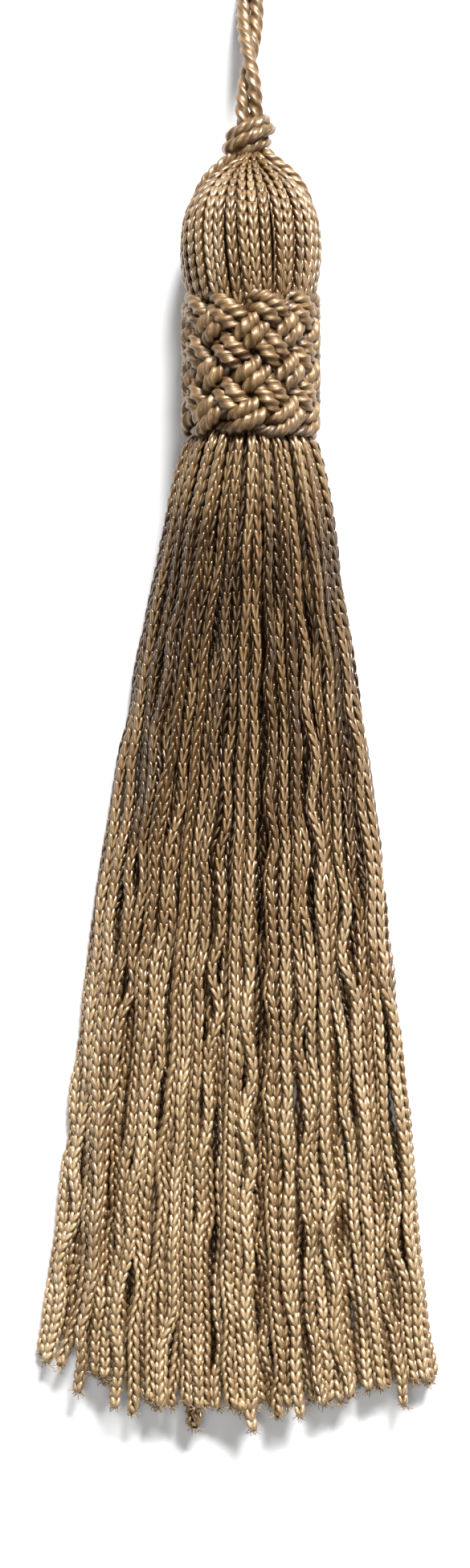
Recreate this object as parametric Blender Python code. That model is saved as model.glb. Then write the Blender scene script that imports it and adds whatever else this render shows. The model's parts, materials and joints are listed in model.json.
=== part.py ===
"""Silk tassel, lying on its back on a flat surface.

Frame: +Y runs from the strand ends to the hanging loop, +X is the right-hand side
seen from above, and the surface is at z = 0. While the pieces are made, the origin
is on the tassel's axis at the collar's lower edge. At the end everything moves
together so that the origin is under the middle of the tassel, its loop left out.

All sizes below are in millimetres. The meshes are made in metres.
"""
import math

import bmesh
import bpy
import numpy as np
from mathutils import Vector

MM = 0.001
GAP = 0.32  # kept between pieces that touch
AXIS_Z = 8.0  # the head and the collar are round and lie on the surface

# The strands: knitted chain cord, about 1.5 mm thick
STRANDS = 90
STRAND_R = 0.74
STRAND_SIDE = 0.95  # the square bar that stands for one strand
ROOT_Y = 1.2  # the strands part from the neck here, inside the collar
ROOT_RADIUS = 6.2
ROOT_SIDE = 0.72
SPREAD_Y = -5.5  # from here down the bars have their full side
SHORTEST_BAR = 2.0  # an end closer than this to a section takes its place

# The skirt's outline, a row for each section down its length. apart is how far one
# strand's centre keeps from the next, and flat goes from 0, a round bundle, to 1, a
# bundle that has settled on the surface.
SKIRT_SECTIONS = (
    # y, left, right, height, apart, flat
    (ROOT_Y, 6.1, 6.1, 12.2, 1.16, 0.00),
    (-1.0, 7.9, 7.9, 14.0, 1.26, 0.00),
    (SPREAD_Y, 8.8, 8.7, 15.2, 1.40, 0.30),
    (-13.0, 10.5, 10.0, 13.6, 1.44, 0.70),
    (-23.0, 12.7, 11.6, 11.4, 1.44, 1.00),
    (-35.0, 15.1, 13.4, 9.6, 1.44, 1.00),
    (-49.0, 17.5, 15.4, 8.2, 1.44, 1.00),
    (-63.0, 19.6, 16.9, 7.2, 1.44, 1.00),
    (-77.0, 21.3, 18.3, 6.4, 1.44, 1.00),
    (-91.0, 22.7, 19.3, 6.0, 1.44, 1.00),
    (-103.0, 24.2, 20.6, 5.6, 1.44, 1.00),
    (-115.0, 25.4, 24.0, 5.4, 1.44, 1.00),
)
EVEN_OUT = 0.5  # 0 keeps the bundle thick in the middle, 1 makes it equally thick all over
STRAY = 0.13  # how far a strand strays sideways on its way down, as a share of the width
WAVE = 0.45  # how far it waves from side to side
SHORTEST_WAVE, LONGEST_WAVE = 26.0, 42.0
SETTLING_STEPS = 500
PUSH = 0.34  # share of an overlap that one step takes away
PULL = 0.06  # share of the way back to its wanted place
STRAIGHTEN = 0.12
SINK = 0.01

# The uneven hem: how far down the strands end, from left to right
HEM = (
    # x, y
    (-25.0, -104.5),
    (-16.0, -106.5),
    (-10.0, -109.5),
    (0.0, -110.5),
    (7.0, -110.0),
    (13.0, -108.5),
    (21.0, -107.5),
)
HEM_UNEVEN = 1.7
# Single strands that end below their neighbours
LONG_ENDS = (
    # x, y
    (-24.1, -105.0),
    (-19.6, -109.2),
    (-14.9, -110.8),
    (-12.6, -111.5),
    (-6.7, -113.2),
    (0.6, -113.4),
    (2.6, -111.9),
    (5.1, -111.8),
    (9.8, -110.2),
    (16.8, -110.6),
    (21.7, -107.6),
)

# The head: the strands folded over, bulging above the collar
HEAD_RIBS = 42
RIB_DEPTH = 0.38
HEAD_TOP = 31.9
HEAD_PROFILE = (
    # y, radius, share of the rib's depth
    (31.6, 1.3, 0.3),
    (31.0, 2.5, 0.6),
    (30.2, 3.8, 1.0),
    (29.1, 5.1, 1.0),
    (27.7, 6.35, 1.0),
    (26.0, 7.25, 1.0),
    (23.8, 7.85, 1.0),
    (21.2, 8.0, 1.0),
    (18.8, 7.75, 1.0),
    (17.0, 7.2, 0.8),
    (15.8, 6.3, 0.2),
    (ROOT_Y, ROOT_RADIUS, 0.0),
)

# The collar: a Turk's head plait of one flat bundle of cords
COLLAR_LENGTH = 16.9
COLLAR_LEADS = 7
COLLAR_BIGHTS = 9
COLLAR_RADIUS = 8.1  # over the humps
COLLAR_DEPTH = 0.85  # from the humps down to the gaps between them
COLLAR_BORE = 6.55
COLLAR_MOUTH = 7.45  # the bore widens to this at both edges
MOUTH_DEPTH = 1.3
COLUMNS_PER_BIGHT, ROWS_PER_LEAD = 8, 3
HUMP_LONG, HUMP_WIDE = 2.1, 1.35  # half sizes of one hump, along its cord and across
BIGHT_SHIFT = 0.3  # the outermost humps lie this share of a row inside the edges
BIGHT_SWELL = 0.35  # how far they stand out past the collar's straight edge
FLAT_HALF_WIDTH = 1.6  # the collar is pressed flat this far to each side of its lowest line
COLLAR_COLUMNS = COLLAR_BIGHTS * COLUMNS_PER_BIGHT

# The hanging cord: three plies, doubled, its two legs twisted round each other
CORD_R = 0.75
PLIES = 3
PLY_GROOVE = 0.2
PLY_TURNS = 20  # how often each ply goes round the cord
CORD_STEP = 0.95
LEG_OFFSET = 0.79  # from a leg's centre to the line that the legs twist round
TWIST_START_Y, TWIST_END_Y = 37.65, 61.0
TWIST_TURNS = 1.0
TWIST_POINTS = 16
DROP_END_Y = 58.0  # the cord has come down to the surface here
LYING_Z = 1.56
LOOP_ROUTE = (
    # x, y, z: the right half of the open loop
    (1.1, 63.5, 1.1),
    (2.4, 66.3, 0.8),
    (4.0, 69.2, CORD_R),
    (5.3, 72.5, CORD_R),
    (5.6, 75.8, CORD_R),
    (4.3, 78.8, CORD_R),
    (1.6, 80.5, CORD_R),
)

# The knot under the loop, and the two legs that go down into the head's shoulders
KNOT_X, KNOT_Z = -0.2, 7.3
KNOT_START_Y, KNOT_END_Y = 33.1, 37.1
KNOT_HALF_X, KNOT_HALF_Z = 3.1, 2.7
KNOT_WRAPS = 3
KNOT_ROWS_PER_WRAP = 4
KNOT_COLUMNS = 22
KNOT_TILT = 0.16  # rise of the wraps from left to right
KNOT_GROOVE = 0.16  # depth of the grooves, as a share of the half sizes
LEG_R = 0.68
LEG_SIDES = 8
LEG_STEP = 1.1
LEG_TIP, LEG_TAPER = 0.5, 0.3  # its end is this thick, and it thins over this share
LEG_START = (0.9, 34.4)
LEFT_LEG_END_Y, RIGHT_LEG_END_Y = 28.0, 27.0


def clear_scene():
    for found in list(bpy.data.objects):
        bpy.data.objects.remove(found, do_unlink=True)


def satin(name, colour, roughness):
    """A Principled material for shiny rayon yarn."""
    material = bpy.data.materials.new(name)
    material.use_nodes = True
    shader = material.node_tree.nodes["Principled BSDF"]
    shader.inputs["Base Color"].default_value = (*colour, 1.0)
    shader.inputs["Roughness"].default_value = roughness
    shader.inputs["Metallic"].default_value = 0.0
    return material


def add_ring(bm, places):
    return [bm.verts.new(place) for place in places]


def join_rings(bm, first, second):
    """Faces from each point of one ring to the next ring."""
    for k, corner in enumerate(first):
        after = (k + 1) % len(first)
        bm.faces.new((corner, first[after], second[after], second[k]))


def round_places(count, y, half_x, half_z, middle_x=0.0, middle_z=AXIS_Z, tilt=0.0):
    """Places round the Y axis, on an ellipse that rises by tilt from left to right."""
    places = []
    for k in range(count):
        angle = 2 * math.pi * k / count
        x = half_x * math.sin(angle)
        places.append(Vector((middle_x + x, y + tilt * x, middle_z - half_z * math.cos(angle))))
    return places


def finish(bm, name, material):
    """Turn a bmesh in millimetres into an object in metres, with its faces outward."""
    bmesh.ops.recalc_face_normals(bm, faces=bm.faces)
    bmesh.ops.scale(bm, vec=(MM, MM, MM), verts=bm.verts)
    mesh = bpy.data.meshes.new(name)
    bm.to_mesh(mesh)
    bm.free()
    mesh.shade_smooth()
    mesh.set_sharp_from_angle(angle=math.radians(50))
    mesh.materials.append(material)
    made = bpy.data.objects.new(name, mesh)
    bpy.context.scene.collection.objects.link(made)
    return made


def mixed(count, seed):
    """Well mixed numbers from -1 to 1, the same ones each time."""
    return 2 * ((np.arange(count) * 0.6180339887 + seed * 0.3819) % 1.0) - 1


def push_apart(x, z, apart):
    """How far to move each strand so that none is closer than apart to the next."""
    dx = x[:, :, None] - x[:, None, :]
    dz = z[:, :, None] - z[:, None, :]
    far = np.sqrt(dx * dx + dz * dz) + 1e-9
    lap = np.clip(apart[:, None, None] - far, 0.0, None)
    lap[:, range(STRANDS), range(STRANDS)] = 0.0
    return PUSH * (lap * dx / far).sum(2), PUSH * (lap * dz / far).sum(2)


def root_pattern():
    """The strands' places in a round bundle of radius 1."""
    turn = np.arange(STRANDS) * math.pi * (3 - math.sqrt(5))
    out = np.sqrt((np.arange(STRANDS) + 0.5) / STRANDS)
    u, v = (out * np.cos(turn))[None], (out * np.sin(turn))[None]
    apart = np.array([1.88 / math.sqrt(STRANDS)])  # as close as they pack
    for _ in range(200):
        du, dv = push_apart(u, v, apart)
        u, v = u + du, v + dv
        inward = np.minimum(1.0, 0.95 / np.hypot(u, v))
        u, v = u * inward, v * inward
    return u[0], v[0]


def lay_strands():
    """Each strand's centre at each section: arrays x and z, sections by strands.

    The strands leave the neck as a round bundle. On their way down they spread and
    settle on the surface, keeping out of each other's way.
    """
    y, left, right, height, apart, flat = np.array(SKIRT_SECTIONS).T
    u, v = root_pattern()
    down = ((y[0] - y) / (y[0] - y[-1]))[:, None]
    settled = flat[:, None]
    half = ((left + right) / 2)[:, None] - STRAND_R
    middle = ((right - left) / 2)[:, None]

    evenly = 2 * (np.argsort(np.argsort(u)) + 0.5) / STRANDS - 1
    across = u / np.abs(u).max() + EVEN_OUT * settled * (evenly - u)
    across = np.clip(across + STRAY * mixed(STRANDS, 1) * (0.7 + 0.3 * v) * down, -1, 1)
    length = SHORTEST_WAVE + (LONGEST_WAVE - SHORTEST_WAVE) * (mixed(STRANDS, 3) + 1) / 2
    wave = WAVE * settled * np.sin(math.pi * mixed(STRANDS, 2) + 2 * math.pi * y[:, None] / length)
    level = np.clip(v / np.sqrt(np.clip(1 - u * u, 0.02, 1)), -1, 1)
    crown = np.sqrt(np.clip(1 - across**2, 0.05, 1))
    lying_z = STRAND_R + (height[:, None] - 2 * STRAND_R) * crown * (level + 1) / 2
    want_x = (1 - settled) * half * u + settled * (middle + half * across + wave)
    want_z = (1 - settled) * (AXIS_Z + half * v) + settled * lying_z

    x, z = want_x.copy(), want_z.copy()
    between = (apart[1:] + apart[:-1]) / 2
    floor = np.where(flat > 0, STRAND_R, 0.0)[:, None]
    for step in range(SETTLING_STEPS):
        ease = max(0.0, 1 - step / (0.8 * SETTLING_STEPS))
        x += PULL * ease * (want_x - x)
        z += PULL * ease * (want_z - z) - SINK * ease * settled
        for line in (x, z):
            line[2:-1] += STRAIGHTEN * ease * ((line[1:-2] + line[3:]) / 2 - line[2:-1])
        dx, dz = push_apart(x, z, apart)
        x += dx
        z += dz
        dx, dz = push_apart((x[1:] + x[:-1]) / 2, (z[1:] + z[:-1]) / 2, between)
        for line, move in ((x, dx), (z, dz)):
            line[1:] += move
            line[:-1] += move
        inward = np.minimum(1.0, 1.03 * half[:2] / np.hypot(x[:2], z[:2] - AXIS_Z))
        x[:2] *= inward
        z[:2] = AXIS_Z + (z[:2] - AXIS_Z) * inward
        x[2:] = np.clip(x[2:], (middle - half)[2:], (middle + half)[2:])
        z = np.maximum(z, floor)
    return y, x, z


def strand_ends(x, z):
    """How far down each strand reaches: the uneven hem, and the few longer strands."""
    hem_x, hem_y = np.array(HEM).T
    ends = np.interp(x, hem_x, hem_y) + HEM_UNEVEN * mixed(STRANDS, 4)
    taken = set()
    for long_x, long_y in LONG_ENDS:
        nearest = np.argsort(np.abs(x - long_x) - 0.25 * z)
        chosen = next(i for i in nearest if i not in taken)
        taken.add(chosen)
        ends[chosen] = long_y
    return ends


def bar_places(x, y, z, side):
    """The corners of a strand's bar, level with the surface."""
    half = side / 2
    return [Vector((x + a * half, y, z + b * half)) for a, b in ((1, 1), (-1, 1), (-1, -1), (1, -1))]


def grow_strands(bm, rim):
    """Close the neck's end with a plate, and extrude the strands out of it."""
    y, x, z = lay_strands()
    side = np.interp(-y, (-ROOT_Y, -SPREAD_Y), (ROOT_SIDE, STRAND_SIDE))
    settled = np.clip(y / SPREAD_Y, 0, 1)[:, None]
    z -= settled * (STRAND_R - STRAND_SIDE / 2)  # so that the lowest bars lie flat
    ends = strand_ends(x[-2], z[-2])

    roots = [add_ring(bm, bar_places(x[0, i], y[0], z[0, i], side[0])) for i in range(STRANDS)]
    edges = list(rim)
    for root in roots:
        edges += [bm.edges.new((corner, root[k - 1])) for k, corner in enumerate(root)]
    bmesh.ops.triangle_fill(bm, use_beauty=True, edges=edges, normal=(0, -1, 0))

    for i, ring in enumerate(roots):
        for k in range(1, len(y)):
            stops = k == len(y) - 1 or ends[i] > y[k] - SHORTEST_BAR
            reach = ends[i] if stops else y[k]
            share = (reach - y[k - 1]) / (y[k] - y[k - 1])
            at_x = x[k - 1, i] + share * (x[k, i] - x[k - 1, i])
            at_z = z[k - 1, i] + share * (z[k, i] - z[k - 1, i])
            below = add_ring(bm, bar_places(at_x, reach, at_z, side[k]))
            join_rings(bm, ring, below)
            ring = below
            if stops:
                break
        bm.faces.new(ring)


def make_head_and_skirt(material):
    """The head's ribbed dome and the neck, with all the strands growing from its end."""
    bm = bmesh.new()
    rings = []
    for y, radius, share in HEAD_PROFILE:
        ridge = round_places(2 * HEAD_RIBS, y, radius, radius)
        groove = radius - share * RIB_DEPTH
        ridge[1::2] = round_places(2 * HEAD_RIBS, y, groove, groove)[1::2]
        rings.append(add_ring(bm, ridge))
    for first, second in zip(rings, rings[1:]):
        join_rings(bm, first, second)
    top = bm.verts.new((0, HEAD_TOP, AXIS_Z))
    for k, corner in enumerate(rings[0]):
        bm.faces.new((top, corner, rings[0][k - 1]))
    rim = [bm.edges.get((corner, rings[-1][k - 1])) for k, corner in enumerate(rings[-1])]
    grow_strands(bm, rim)
    return finish(bm, "head_and_skirt", material)


def hump_height(angle, y):
    """0 to 1: how proud the plait stands, from the cords that cross over this place."""
    row_pitch = COLLAR_LENGTH / COLLAR_LEADS
    bight_pitch = 2 * math.pi * COLLAR_RADIUS / COLLAR_BIGHTS
    slope = math.atan2(row_pitch, bight_pitch / 2)
    best = 0.0
    for row in range(COLLAR_LEADS + 1):
        inward = {0: BIGHT_SHIFT, COLLAR_LEADS: -BIGHT_SHIFT}.get(row, 0.0)
        turn = 0.0 if inward else slope * (-1) ** (row + 1)
        share = (angle / (2 * math.pi) * COLLAR_BIGHTS - row / 2) % 1.0
        dx = (share - round(share)) * bight_pitch
        dy = y - (row + inward) * row_pitch
        along = (dx * math.cos(turn) + dy * math.sin(turn)) / HUMP_LONG
        aside = (dy * math.cos(turn) - dx * math.sin(turn)) / HUMP_WIDE
        best = max(best, 1 - along**2 - aside**2)
    return math.sqrt(best)


def collar_places(row):
    """The collar's outer points in one row, with humps, and flat underneath."""
    y = COLLAR_LENGTH * row / (COLLAR_LEADS * ROWS_PER_LEAD)
    swell = {0: -BIGHT_SWELL, COLLAR_LEADS * ROWS_PER_LEAD: BIGHT_SWELL}.get(row, 0.0)
    places = []
    for k in range(COLLAR_COLUMNS):
        angle = 2 * math.pi * k / COLLAR_COLUMNS
        height = hump_height(angle, y)
        out = COLLAR_RADIUS - COLLAR_DEPTH * (1 - height)
        out = max(out, COLLAR_MOUTH + 0.1) if swell else out
        x, z = out * math.sin(angle), AXIS_Z - out * math.cos(angle)
        under = z < AXIS_Z and abs(x) < FLAT_HALF_WIDTH
        places.append(Vector((x, y + swell * height, 0.0 if under else max(z, 0.0))))
    return places


def make_collar(material):
    """The plaited collar: a ring with the plait's humps raised on it."""
    bm = bmesh.new()
    rings = [add_ring(bm, collar_places(row)) for row in range(COLLAR_LEADS * ROWS_PER_LEAD + 1)]
    for y, bore in (
        (COLLAR_LENGTH, COLLAR_MOUTH),
        (COLLAR_LENGTH - MOUTH_DEPTH, COLLAR_BORE),
        (MOUTH_DEPTH, COLLAR_BORE),
        (0.0, COLLAR_MOUTH),
    ):
        rings.append(add_ring(bm, round_places(COLLAR_COLUMNS, y, bore, bore)))
    for first, second in zip(rings, rings[1:] + rings[:1]):
        join_rings(bm, first, second)
    return finish(bm, "collar_plait", material)


def smooth_line(points, step):
    """A smooth curve through the points, read off at even steps."""
    given = np.array(points)
    padded = np.vstack([2 * given[0] - given[1], given, 2 * given[-1] - given[-2]])
    fine = []
    for a, b, c, d in zip(padded, padded[1:], padded[2:], padded[3:]):
        for t in np.linspace(0, 1, 20, endpoint=False):
            bend = (2 * a - 5 * b + 4 * c - d) * t**2 + (3 * b - a - 3 * c + d) * t**3
            fine.append((2 * b + (c - a) * t + bend) / 2)
    fine = np.array(fine + [given[-1]])
    along = np.concatenate([[0], np.cumsum(np.linalg.norm(np.diff(fine, axis=0), axis=1))])
    at = np.linspace(0, along[-1], round(along[-1] / step) + 1)
    return [Vector([float(np.interp(s, along, fine[:, i])) for i in range(3)]) for s in at]


def tube(bm, line, section):
    """A closed tube along the line. section gives a ring's points, 0 at the start, 1 at the end."""
    side = (line[1] - line[0]).orthogonal().normalized()
    last = len(line) - 1
    rings = []
    for k, place in enumerate(line):
        ahead = (line[min(k + 1, last)] - line[max(k - 1, 0)]).normalized()
        side = (side - side.dot(ahead) * ahead).normalized()
        other = ahead.cross(side)
        rings.append(add_ring(bm, [place + a * side + b * other for a, b in section(k / last)]))
    for first, second in zip(rings, rings[1:]):
        join_rings(bm, first, second)
    bm.faces.new(rings[0])
    bm.faces.new(rings[-1])


def twisted_section(share):
    """The three plies' section, turned as far as they have gone round by here."""
    places = []
    for k in range(2 * PLIES):
        angle = math.pi * k / PLIES + 2 * math.pi * PLY_TURNS * share
        out = CORD_R - PLY_GROOVE * (k % 2)
        places.append((out * math.cos(angle), out * math.sin(angle)))
    return places


def leg_section(share):
    """The leg's round section, which thins where it goes in under the strands."""
    out = LEG_R * min(1.0, LEG_TIP + (1 - share) / LEG_TAPER * (1 - LEG_TIP))
    turns = [2 * math.pi * k / LEG_SIDES for k in range(LEG_SIDES)]
    return [(out * math.cos(turn), out * math.sin(turn)) for turn in turns]


def cord_route():
    """Up the right leg, round the loop and down the left leg."""
    right, left = [], []
    for k in range(TWIST_POINTS + 1):
        share = k / TWIST_POINTS
        y = TWIST_START_Y + share * (TWIST_END_Y - TWIST_START_Y)
        fall = min(1.0, (y - TWIST_START_Y) / (DROP_END_Y - TWIST_START_Y))
        z = KNOT_Z + (LYING_Z - KNOT_Z) * fall * fall * (3 - 2 * fall)
        x = KNOT_X * (1 - share)
        turn = 2 * math.pi * TWIST_TURNS * share
        off_x, off_z = LEG_OFFSET * math.cos(turn), LEG_OFFSET * math.sin(turn)
        right.append((x + off_x, y, z + off_z))
        left.append((x - off_x, y, z - off_z))
    back = [(-x, y, z) for x, y, z in reversed(LOOP_ROUTE)]
    return right + list(LOOP_ROUTE) + back + left[::-1]


def make_hanging_cord(material):
    bm = bmesh.new()
    tube(bm, smooth_line(cord_route(), CORD_STEP), twisted_section)
    return finish(bm, "hanging_cord", material)


def shoulder_route(side, end_y):
    """From inside the knot down over the head, clear of its ribs."""
    clear = LEG_R + GAP
    route = [Vector((KNOT_X + side * LEG_START[0], LEG_START[1], KNOT_Z))]
    rows = [(y, radius) for y, radius, _ in HEAD_PROFILE]
    for (y0, r0), (y1, r1) in zip(rows, rows[1:]):
        if (y0 + y1) / 2 > end_y:
            down = Vector((r1 - r0, y1 - y0)).normalized()
            out_x, out_y = -down.y * clear, down.x * clear
            route.append(Vector((side * ((r0 + r1) / 2 + out_x), (y0 + y1) / 2 + out_y, AXIS_Z)))
    return route


def make_knot(material):
    """The knot's wraps raised on one body, with its two legs joined to it."""
    bm = bmesh.new()
    rows = KNOT_WRAPS * KNOT_ROWS_PER_WRAP
    rings = []
    for row in range(1, rows):
        share = row / rows
        barrel = math.sin(math.pi * share) ** 0.4
        wrap = abs(math.sin(math.pi * row / KNOT_ROWS_PER_WRAP))
        size = barrel * (1 - KNOT_GROOVE * (1 - wrap))
        y = KNOT_START_Y + share * (KNOT_END_Y - KNOT_START_Y)
        ellipse = (KNOT_HALF_X * size, KNOT_HALF_Z * size, KNOT_X, KNOT_Z, KNOT_TILT)
        rings.append(add_ring(bm, round_places(KNOT_COLUMNS, y, *ellipse)))
    for first, second in zip(rings, rings[1:]):
        join_rings(bm, first, second)
    for y, ring in ((KNOT_START_Y, rings[0]), (KNOT_END_Y, rings[-1])):
        pole = bm.verts.new((KNOT_X, y, KNOT_Z))
        for k, corner in enumerate(ring):
            bm.faces.new((pole, corner, ring[k - 1]))
    knot = finish(bm, "cord_knot", material)

    for name, side, end_y in (("left_leg", -1, LEFT_LEG_END_Y), ("right_leg", 1, RIGHT_LEG_END_Y)):
        bm = bmesh.new()
        tube(bm, smooth_line(shoulder_route(side, end_y), LEG_STEP), leg_section)
        leg = finish(bm, name, material)
        leg.hide_render = True
        leg.display_type = "WIRE"
        union = knot.modifiers.new(name, "BOOLEAN")
        union.operation = "UNION"
        union.solver = "EXACT"
        union.object = leg
    return knot


def centre_on_surface(tassel, others):
    """Move everything so that the origin is under the middle of the tassel."""
    bpy.context.view_layer.update()
    corners = []
    for piece in tassel:
        seen = piece.evaluated_get(bpy.context.evaluated_depsgraph_get())
        corners += [tuple(corner) for corner in seen.bound_box]
    low, high = np.min(corners, axis=0), np.max(corners, axis=0)
    middle = (low + high) / 2
    for piece in others:
        piece.location = (-middle[0], -middle[1], 0.0)


def main():
    clear_scene()
    strand_satin = satin("chain_knitted_rayon", (0.33, 0.20, 0.085), 0.38)
    cord_satin = satin("twisted_rayon", (0.31, 0.185, 0.075), 0.36)
    tassel = [
        make_head_and_skirt(strand_satin),
        make_collar(cord_satin),
        make_knot(cord_satin),
    ]
    make_hanging_cord(cord_satin)
    centre_on_surface(tassel, list(bpy.data.objects))


main()
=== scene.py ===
# %% [markdown]
# This lesson dresses a silk tassel that lies on its back, seen from straight above.
# A tassel maker works with two cords: a thin knitted chain cord, cut and bundled for the
# skirt and folded over for the head, and a twisted three-ply cord for the collar, the knot
# and the hanging loop. So the whole tassel can be made from two straight lengths of cord,
# repeated and bent along paths, which is also how the real one is made.

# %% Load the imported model
import json
import math

import bmesh
import bpy
import numpy as np
from mathutils import Matrix, Vector

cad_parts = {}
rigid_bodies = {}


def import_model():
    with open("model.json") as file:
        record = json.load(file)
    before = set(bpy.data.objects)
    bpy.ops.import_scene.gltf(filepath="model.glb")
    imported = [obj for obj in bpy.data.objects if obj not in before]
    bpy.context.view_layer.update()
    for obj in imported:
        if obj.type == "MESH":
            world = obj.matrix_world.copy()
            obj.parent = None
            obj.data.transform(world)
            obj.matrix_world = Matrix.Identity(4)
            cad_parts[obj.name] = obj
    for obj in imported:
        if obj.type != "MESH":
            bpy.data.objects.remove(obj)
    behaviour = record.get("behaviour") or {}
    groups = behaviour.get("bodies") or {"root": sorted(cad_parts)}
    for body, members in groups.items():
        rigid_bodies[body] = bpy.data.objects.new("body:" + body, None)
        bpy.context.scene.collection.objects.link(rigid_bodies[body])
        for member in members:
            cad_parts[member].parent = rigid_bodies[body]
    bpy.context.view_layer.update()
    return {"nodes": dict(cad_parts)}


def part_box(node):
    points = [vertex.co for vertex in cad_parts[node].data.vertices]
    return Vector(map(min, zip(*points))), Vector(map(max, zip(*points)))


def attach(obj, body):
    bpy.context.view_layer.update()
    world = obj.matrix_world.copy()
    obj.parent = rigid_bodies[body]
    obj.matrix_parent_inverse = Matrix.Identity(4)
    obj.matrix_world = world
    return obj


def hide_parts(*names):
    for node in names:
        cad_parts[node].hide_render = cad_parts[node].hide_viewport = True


for found in list(bpy.data.objects):
    bpy.data.objects.remove(found, do_unlink=True)
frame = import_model()
print("nodes:", ", ".join(sorted(frame["nodes"])))

# %% [markdown]
# Sizes are easiest to read in millimetres, measured from the middle of the collar's lower
# edge, where the skirt begins. The frame tells where that point is: half way between the
# collar's sides, and as far below the head's top as the head and collar are long.

# %% Millimetres and the tassel's own origin
MM = 0.001
HEAD_TOP = 31.9
AXIS_Z = 8.0
collar_low, collar_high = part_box("collar_plait")
head_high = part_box("head_and_skirt")[1]
ORIGIN = np.array([(collar_low.x + collar_high.x) / 2, head_high.y - HEAD_TOP * MM, 0.0])
print("origin in mm:", np.round(ORIGIN / MM, 3))


def in_metres(points):
    """Places in the tassel's own millimetres, as places in the frame."""
    return np.asarray(points, float) * MM + ORIGIN


# %% [markdown]
# The camera looks straight down with a long lens, so that the round head and collar keep
# their true outline. The picture is upright, so the sensor's 36 mm lie along its height.

# %% Camera
PICTURE_LONG = 179.4
PICTURE_MIDDLE = (-0.76, -1.13)
LENS, SENSOR = 150.0, 36.0
FOCUS_Z = 6.0
camera_data = bpy.data.cameras.new("camera")
camera_data.lens = LENS
camera_data.sensor_width = SENSOR
camera = bpy.data.objects.new("camera", camera_data)
camera_height = FOCUS_Z + PICTURE_LONG * LENS / SENSOR
camera.location = (PICTURE_MIDDLE[0] * MM, PICTURE_MIDDLE[1] * MM, camera_height * MM)
camera_data.clip_start = 0.05
camera_data.clip_end = 10.0
bpy.context.scene.collection.objects.link(camera)
bpy.context.scene.camera = camera
print("camera height in mm:", round(camera_height))

# %% [markdown]
# Everything below is a straight length of cord laid along a path. To bend it, each of its
# points keeps its distance from the cord's middle line, while the line follows the path.
# A path comes with a direction to its side at each point, and the cord can spin as it
# goes, or be squeezed to one side or from above.


# %% Bending a straight length along a path
def unit(vectors):
    return vectors / np.linalg.norm(vectors, axis=-1, keepdims=True)


def length_along(path):
    """How far along the path each of its points is."""
    steps = np.linalg.norm(np.diff(path, axis=0), axis=1)
    return np.concatenate([[0.0], np.cumsum(steps)])


def read_off(table, stations, at):
    return np.stack([np.interp(at, stations, column) for column in table.T], axis=1)


def bend(straight, path, side, spin=0.0, wide=1.0, deep=1.0, pull=0.0):
    """The places of a straight length's points, laid along a path from its start.

    straight runs from y = 0 to its longest y. side is a direction for each path point.
    spin is in radians, wide and deep are scales, each one number or one for each point.
    pull is how much longer its first part is drawn than its last.
    """
    ahead = unit(np.gradient(path, axis=0))
    side = unit(side - (side * ahead).sum(1, keepdims=True) * ahead)
    above = np.cross(side, ahead)
    far = length_along(path)
    share = straight[:, 1] / straight[:, 1].max()
    at = far[-1] * (share + pull * share * (1 - share))
    spin, wide, deep = (
        np.interp(at, far, np.broadcast_to(value, far.shape)) for value in (spin, wide, deep)
    )
    u = straight[:, 0] * np.cos(spin) - straight[:, 2] * np.sin(spin)
    v = straight[:, 0] * np.sin(spin) + straight[:, 2] * np.cos(spin)
    middle = read_off(path, far, at)
    middle += (wide * u)[:, None] * read_off(side, far, at)
    return middle + (deep * v)[:, None] * read_off(above, far, at)


def smooth_line(points, step):
    """A smooth curve through the points, read off at even steps."""
    given = np.array(points, float)
    padded = np.vstack([2 * given[0] - given[1], given, 2 * given[-1] - given[-2]])
    fine = []
    for a, b, c, d in zip(padded, padded[1:], padded[2:], padded[3:]):
        for t in np.linspace(0, 1, 20, endpoint=False):
            curve = (2 * a - 5 * b + 4 * c - d) * t**2 + (3 * b - a - 3 * c + d) * t**3
            fine.append((2 * b + (c - a) * t + curve) / 2)
    fine = np.array(fine + [given[-1]])
    far = length_along(fine)
    return read_off(fine, far, np.linspace(0, far[-1], round(far[-1] / step) + 1))


# %% [markdown]
# Many copies are one mesh: an Array modifier repeats the first one, and the result is read
# back as a plain mesh. Its points then stand in order, copy after copy, so each copy can be
# given its own places.


# %% Copies in one mesh, and a finished piece
def link(name, mesh):
    made = bpy.data.objects.new(name, mesh)
    bpy.context.scene.collection.objects.link(made)
    return made


def repeated(mesh, count, step=0.0):
    """One mesh that holds copies, each a step further along Y than the one before."""
    holder = link("row", mesh)
    row = holder.modifiers.new("row", "ARRAY")
    row.count = count
    row.use_relative_offset = False
    row.use_constant_offset = True
    row.constant_offset_displace = (0.0, step, 0.0)
    seen = holder.evaluated_get(bpy.context.evaluated_depsgraph_get())
    made = bpy.data.meshes.new_from_object(seen)
    bpy.data.objects.remove(holder)
    return made


def points_of(mesh):
    flat = np.empty(len(mesh.vertices) * 3, np.float32)
    mesh.vertices.foreach_get("co", flat)
    return flat.reshape(-1, 3).astype(float)


HEAD_AND_SKIRT = ("head_and_skirt", "chain_knitted_rayon")  # a node and its material slot


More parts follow.
